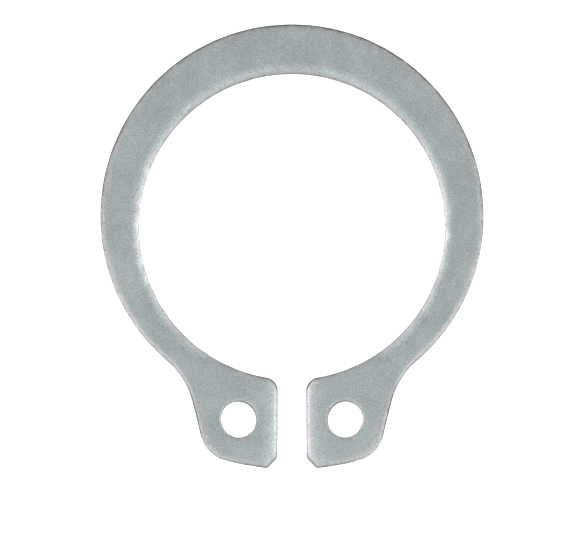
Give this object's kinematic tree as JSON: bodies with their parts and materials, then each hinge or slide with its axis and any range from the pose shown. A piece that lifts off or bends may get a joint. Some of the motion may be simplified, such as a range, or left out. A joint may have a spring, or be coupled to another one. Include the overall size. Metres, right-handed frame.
{
  "type": "circlip retaining ring",
  "caption": "Flat open spring ring whose band tapers towards drilled lugs beside its slot; spread with pliers, it snaps into a shaft's groove to hold parts in place.",
  "frame": {"origin": "centre of the free ring's inner circle, on the back face that it lies on", "axes": "+Z from the back face to the front face with the rolled edges, -Y through the middle of the slot, +X towards the right lug as seen from the front"},
  "size_m": [0.0184, 0.0213, 0.001],
  "materials": {
    "plated_spring_steel": "tumbled satin grey plating, fine-grained, with no grind lines"
  },
  "bodies": {
    "root": {"retaining_ring": "plated_spring_steel"}
  },
  "joints": []
}
